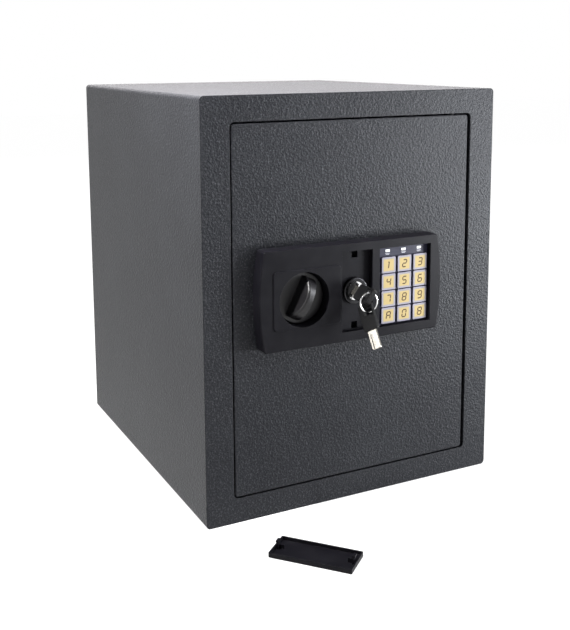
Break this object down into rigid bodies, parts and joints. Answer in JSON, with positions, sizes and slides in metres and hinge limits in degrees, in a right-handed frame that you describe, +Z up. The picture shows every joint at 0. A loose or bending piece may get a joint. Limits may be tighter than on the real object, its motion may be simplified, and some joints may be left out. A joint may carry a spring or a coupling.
{
  "type": "in room safe",
  "caption": "Steel cabinet safe with a flush hinged door, twin locking bolts, turn knob, keypad and emergency key lock with keys in place.",
  "frame": {"origin": "centre of the cabinet's underside, which is also the centre of its floor anchor holes", "axes": "+X to the right seen from the front, +Y from the door into the depth, +Z up"},
  "size_m": [0.32, 0.4874, 0.4],
  "materials": {
    "body_paint": "textured powder coat",
    "panel_plastic": "fine grain",
    "knob_plastic": "satin gloss",
    "bow_plastic": "satin",
    "key_cap": "satin",
    "label": "satin film",
    "lens": "clear",
    "nylon": "natural",
    "felt": "needle felt",
    "steel": "zinc plated",
    "nickel": "nickel plated",
    "chrome": "polished",
    "board": "solder mask",
    "coil": "wound tape",
    "cell": "printed sleeve",
    "lead": "matt",
    "button_red": "satin"
  },
  "bodies": {
    "cabinet": {"cabinet_wrap": "body_paint", "back_panel": "body_paint", "front_frame": "body_paint", "hinge_bushes": "nylon", "floor_mat": "felt", "shelf_brackets": "body_paint"},
    "shelf": {"shelf": "body_paint"},
    "loose_cover": {"key_cover": "panel_plastic"},
    "door": {"door_plate": "body_paint", "hinge_brackets": "steel", "hinge_pins": "steel", "door_cover": "body_paint", "cover_screws": "nickel", "lock_panel": "panel_plastic", "panel_screws": "nickel", "keypad_label": "label", "status_lenses": "lens", "circuit_board": "board", "carriage_studs": "steel", "lock_housing": "knob_plastic", "lock_nut": "nickel", "solenoid_frame": "steel", "solenoid_coil": "coil", "plunger_spring": "steel", "battery_box": "panel_plastic", "batteries": "cell", "battery_contacts": "nickel", "solenoid_lead": "lead", "battery_lead": "lead"},
    "knob": {"knob": "knob_plastic", "knob_shaft": "steel", "knob_crank": "steel", "crank_screw": "nickel"},
    "carriage": {"bolt_carriage": "steel", "locking_bolts": "chrome", "bolt_screws": "nickel"},
    "lock_plug": {"lock_plug": "chrome", "lock_cam": "steel", "cam_screw": "nickel"},
    "key": {"key_blade": "nickel", "key_bow": "bow_plastic"},
    "ring": {"key_ring": "chrome"},
    "spare_key": {"spare_key_blade": "nickel", "spare_key_bow": "bow_plastic"},
    "plunger": {"solenoid_plunger": "steel"},
    "reset_button": {"reset_button": "button_red"},
    "battery_cover": {"battery_cover": "panel_plastic"},
    "button_1": {"key_1": "key_cap"},
    "button_2": {"key_2": "key_cap"},
    "button_3": {"key_3": "key_cap"},
    "button_4": {"key_4": "key_cap"},
    "button_5": {"key_5": "key_cap"},
    "button_6": {"key_6": "key_cap"},
    "button_7": {"key_7": "key_cap"},
    "button_8": {"key_8": "key_cap"},
    "button_9": {"key_9": "key_cap"},
    "button_a": {"key_a": "key_cap"},
    "button_0": {"key_0": "key_cap"},
    "button_b": {"key_b": "key_cap"}
  },
  "joints": [
    {"name": "door_swing", "type": "hinge", "parent": "cabinet", "child": "door", "pos_m": [0.1145, -0.171, 0.2], "axis": [0, 0, 1], "range_deg": [0, 100]},
    {"name": "shelf_lift", "type": "slide", "parent": "cabinet", "child": "shelf", "axis": [0, 0, 1], "range_m": [0, 0.03]},
    {"name": "loose_cover_lift", "type": "slide", "parent": "cabinet", "child": "loose_cover", "axis": [0, 0, 1], "range_m": [0, 0.1]},
    {"name": "knob_turn", "type": "hinge", "parent": "door", "child": "knob", "pos_m": [-0.0655, -0.18, 0.211], "axis": [0, -1, 0], "range_deg": [0, 75]},
    {"name": "bolt_throw", "type": "slide", "parent": "door", "child": "carriage", "axis": [-1, 0, 0], "range_m": [0, 0.016]},
    {"name": "key_turn", "type": "hinge", "parent": "door", "child": "lock_plug", "pos_m": [-0.0082, -0.18, 0.212], "axis": [0, -1, 0], "range_deg": [0, 90]},
    {"name": "plunger_rise", "type": "slide", "parent": "door", "child": "plunger", "axis": [0, 0, 1], "range_m": [0, 0.006], "deforming": ["plunger_spring"]},
    {"name": "key_pull", "type": "slide", "parent": "lock_plug", "child": "key", "axis": [0, -1, 0], "range_m": [0, 0.03]},
    {"name": "ring_swing", "type": "hinge", "parent": "key", "child": "ring", "pos_m": [-0.007, -0.2133, 0.2149], "axis": [1, 0, 0], "range_deg": [-12, 8]},
    {"name": "spare_key_swing", "type": "hinge", "parent": "ring", "child": "spare_key", "pos_m": [-0.007, -0.2133, 0.1965], "axis": [1, 0, 0], "range_deg": [-10, 20]},
    {"name": "reset_press", "type": "slide", "parent": "door", "child": "reset_button", "axis": [0, -1, 0], "range_m": [0, 0.0014], "stiffness_N_per_m": 400},
    {"name": "battery_cover_off", "type": "slide", "parent": "door", "child": "battery_cover", "axis": [0, 1, 0], "range_m": [0, 0.03]},
    {"name": "press_1", "type": "slide", "parent": "door", "child": "button_1", "axis": [0, 1, 0], "range_m": [0, 0.0008], "stiffness_N_per_m": 800},
    {"name": "press_2", "type": "slide", "parent": "door", "child": "button_2", "axis": [0, 1, 0], "range_m": [0, 0.0008], "stiffness_N_per_m": 800},
    {"name": "press_3", "type": "slide", "parent": "door", "child": "button_3", "axis": [0, 1, 0], "range_m": [0, 0.0008], "stiffness_N_per_m": 800},
    {"name": "press_4", "type": "slide", "parent": "door", "child": "button_4", "axis": [0, 1, 0], "range_m": [0, 0.0008], "stiffness_N_per_m": 800},
    {"name": "press_5", "type": "slide", "parent": "door", "child": "button_5", "axis": [0, 1, 0], "range_m": [0, 0.0008], "stiffness_N_per_m": 800},
    {"name": "press_6", "type": "slide", "parent": "door", "child": "button_6", "axis": [0, 1, 0], "range_m": [0, 0.0008], "stiffness_N_per_m": 800},
    {"name": "press_7", "type": "slide", "parent": "door", "child": "button_7", "axis": [0, 1, 0], "range_m": [0, 0.0008], "stiffness_N_per_m": 800},
    {"name": "press_8", "type": "slide", "parent": "door", "child": "button_8", "axis": [0, 1, 0], "range_m": [0, 0.0008], "stiffness_N_per_m": 800},
    {"name": "press_9", "type": "slide", "parent": "door", "child": "button_9", "axis": [0, 1, 0], "range_m": [0, 0.0008], "stiffness_N_per_m": 800},
    {"name": "press_a", "type": "slide", "parent": "door", "child": "button_a", "axis": [0, 1, 0], "range_m": [0, 0.0008], "stiffness_N_per_m": 800},
    {"name": "press_0", "type": "slide", "parent": "door", "child": "button_0", "axis": [0, 1, 0], "range_m": [0, 0.0008], "stiffness_N_per_m": 800},
    {"name": "press_b", "type": "slide", "parent": "door", "child": "button_b", "axis": [0, 1, 0], "range_m": [0, 0.0008], "stiffness_N_per_m": 800}
  ],
  "couplings": [
    {"joint": "knob_turn", "follows": "bolt_throw", "rad_per_m": 81.8},
    {"joint": "plunger_rise", "follows": "key_turn", "m_per_rad": 0.00381}
  ]
}
